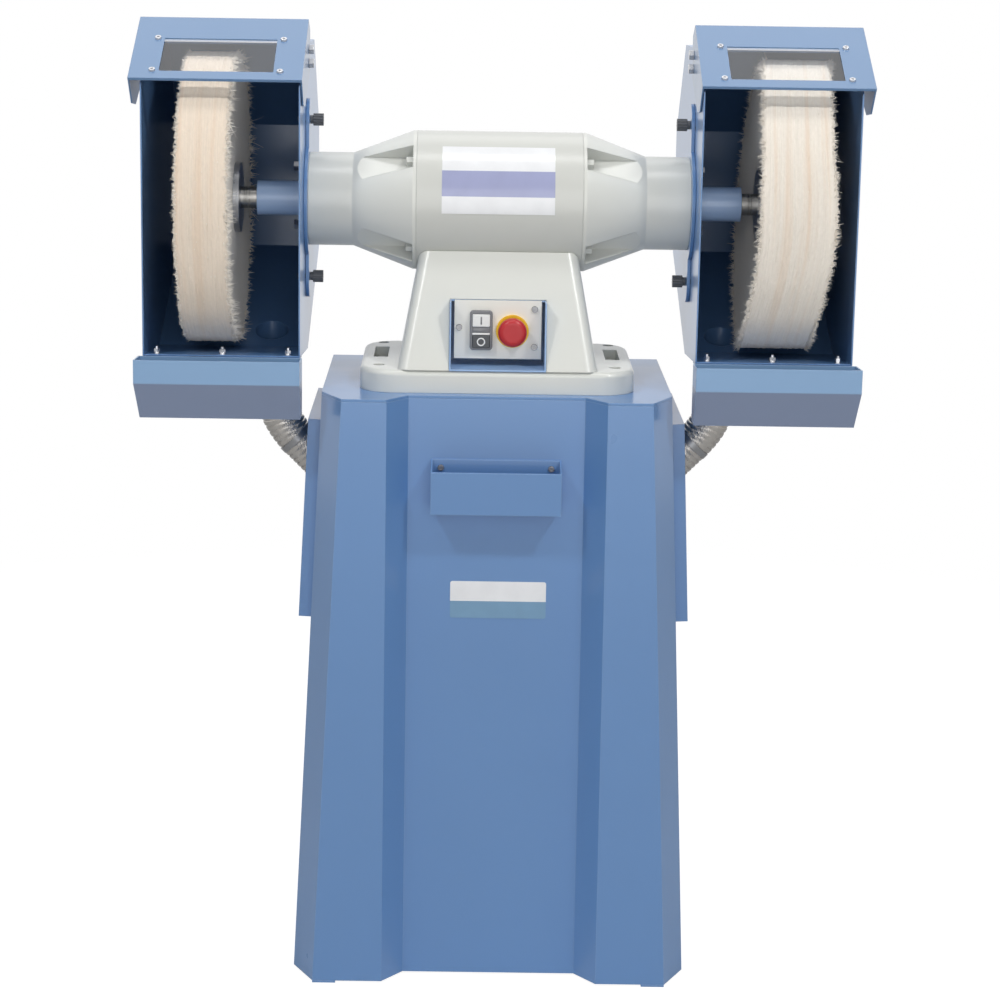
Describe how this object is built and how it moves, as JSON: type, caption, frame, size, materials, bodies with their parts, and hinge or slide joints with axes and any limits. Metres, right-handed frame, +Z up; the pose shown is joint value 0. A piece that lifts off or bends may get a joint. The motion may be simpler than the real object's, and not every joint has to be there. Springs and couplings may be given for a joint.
{
  "type": "polishing machine",
  "caption": "Pedestal polishing machine with cotton wheels on a motor spindle, tilting dust hoods with windowed lids, and a cabinet with a suction fan and dust drawer.",
  "frame": {"origin": "on the floor, at the centre of the anchor holes in the foot rails", "axes": "+Z up, +X to the right along the spindle, +Y away from the operator"},
  "size_m": [1.0052, 0.542, 1.308],
  "materials": {
    "blue_paint": "satin powder coat",
    "white_paint": "satin paint on a casting",
    "zinc_steel": "zinc plated",
    "label_white": "gloss",
    "motor_grey": "satin",
    "filter_cloth": "pleated cloth",
    "black_plastic": "matt",
    "core_steel": "laminated sheet",
    "copper": "enamelled wire",
    "bearing_steel": "ground",
    "panel_grey": "satin",
    "button_grey": "satin",
    "button_white": "satin",
    "button_dark": "satin",
    "stop_red": "gloss",
    "collar_yellow": "gloss",
    "hose_aluminium": "bright corrugated foil",
    "cotton": "stitched cloth",
    "impeller_aluminium": "cast",
    "smoked_window": "smoked clear sheet",
    "knob_dark": "matt"
  },
  "bodies": {
    "stand": {"cabinet_shell": "blue_paint", "cabinet_back_panel": "blue_paint", "cabinet_top_plate": "blue_paint", "foot_rails": "blue_paint", "side_cover_left": "blue_paint", "side_cover_right": "blue_paint", "tool_tray": "blue_paint", "switch_box": "blue_paint", "hood_bracket_left": "blue_paint", "hood_bracket_right": "blue_paint", "stand_screws": "zinc_steel", "head_bolts": "zinc_steel", "fan_shelf": "zinc_steel", "drawer_runners": "zinc_steel", "fan_housing": "zinc_steel", "label_plates": "label_white", "fan_motor": "motor_grey", "filter_cartridge": "filter_cloth", "cable_gland": "black_plastic", "motor_base": "white_paint", "motor_housing": "white_paint", "end_bell_left": "white_paint", "end_bell_right": "white_paint", "stator_core": "core_steel", "stator_windings": "copper", "bearing_outer_rings": "bearing_steel", "switch_panel": "panel_grey", "button_frame": "button_grey", "estop_collar": "collar_yellow", "duct_left": "hose_aluminium", "duct_right": "hose_aluminium"},
    "spindle": {"spindle_shaft": "bearing_steel", "bearing_inner_rings": "bearing_steel", "rotor_core": "core_steel", "buff_left": "cotton", "buff_right": "cotton", "wheel_flanges": "zinc_steel", "spindle_nuts": "zinc_steel"},
    "start_button": {"start_button": "button_white"},
    "stop_button": {"stop_button": "button_dark"},
    "stop_plunger": {"estop_plunger": "button_grey"},
    "stop_head": {"estop_mushroom": "stop_red"},
    "impeller": {"fan_impeller": "impeller_aluminium"},
    "drawer": {"dust_drawer": "blue_paint"},
    "hood_left": {"hood_left": "blue_paint", "lint_tray_left": "blue_paint", "hood_fasteners_left": "zinc_steel"},
    "lid_left": {"lid_left": "blue_paint", "window_left": "smoked_window", "window_screws_left": "zinc_steel"},
    "knob_upper_left": {"knob_upper_left": "knob_dark"},
    "knob_lower_left": {"knob_lower_left": "knob_dark"},
    "hood_right": {"hood_right": "blue_paint", "lint_tray_right": "blue_paint", "hood_fasteners_right": "zinc_steel"},
    "lid_right": {"lid_right": "blue_paint", "window_right": "smoked_window", "window_screws_right": "zinc_steel"},
    "knob_upper_right": {"knob_upper_right": "knob_dark"},
    "knob_lower_right": {"knob_lower_right": "knob_dark"}
  },
  "joints": [
    {"name": "spindle_spin", "type": "hinge", "parent": "stand", "child": "spindle", "pos_m": [0, 0, 1.062], "axis": [1, 0, 0], "continuous": true},
    {"name": "hood_tilt_left", "type": "hinge", "parent": "stand", "child": "hood_left", "pos_m": [-0.2688, 0, 1.062], "axis": [1, 0, 0], "range_deg": [-10, 10], "deforming": ["duct_left"]},
    {"name": "lid_swing_left", "type": "hinge", "parent": "hood_left", "child": "lid_left", "pos_m": [-0.266, -0.002, 1.267], "axis": [-1, 0, 0], "range_deg": [0, 22]},
    {"name": "knob_upper_left_turn", "type": "hinge", "parent": "stand", "child": "knob_upper_left", "pos_m": [-0.263, 0, 1.171], "axis": [-1, 0, 0], "continuous": true},
    {"name": "knob_lower_left_turn", "type": "hinge", "parent": "stand", "child": "knob_lower_left", "pos_m": [-0.263, 0, 0.953], "axis": [-1, 0, 0], "continuous": true},
    {"name": "hood_tilt_right", "type": "hinge", "parent": "stand", "child": "hood_right", "pos_m": [0.2688, 0, 1.062], "axis": [1, 0, 0], "range_deg": [-10, 10], "deforming": ["duct_right"]},
    {"name": "lid_swing_right", "type": "hinge", "parent": "hood_right", "child": "lid_right", "pos_m": [0.266, -0.002, 1.267], "axis": [-1, 0, 0], "range_deg": [0, 22]},
    {"name": "knob_upper_right_turn", "type": "hinge", "parent": "stand", "child": "knob_upper_right", "pos_m": [0.263, 0, 1.171], "axis": [1, 0, 0], "continuous": true},
    {"name": "knob_lower_right_turn", "type": "hinge", "parent": "stand", "child": "knob_lower_right", "pos_m": [0.263, 0, 0.953], "axis": [1, 0, 0], "continuous": true},
    {"name": "start_press", "type": "slide", "parent": "stand", "child": "start_button", "axis": [0, 1, 0], "range_m": [0, 0.003], "stiffness_N_per_m": 600, "springref_m": -0.001},
    {"name": "stop_press", "type": "slide", "parent": "stand", "child": "stop_button", "axis": [0, 1, 0], "range_m": [0, 0.003], "stiffness_N_per_m": 600, "springref_m": -0.001},
    {"name": "emergency_press", "type": "slide", "parent": "stand", "child": "stop_plunger", "axis": [0, 1, 0], "range_m": [0, 0.005], "stiffness_N_per_m": 1500, "springref_m": -0.001},
    {"name": "emergency_twist", "type": "hinge", "parent": "stop_plunger", "child": "stop_head", "pos_m": [0.0198, -0.1196, 0.896], "axis": [0, 1, 0], "range_deg": [0, 40], "stiffness_Nm_per_rad": 0.05},
    {"name": "impeller_spin", "type": "hinge", "parent": "stand", "child": "impeller", "pos_m": [0, 0.01, 0.65], "axis": [0, 0, 1], "continuous": true},
    {"name": "drawer_slide", "type": "slide", "parent": "stand", "child": "drawer", "axis": [0, 1, 0], "range_m": [0, 0.28]}
  ]
}
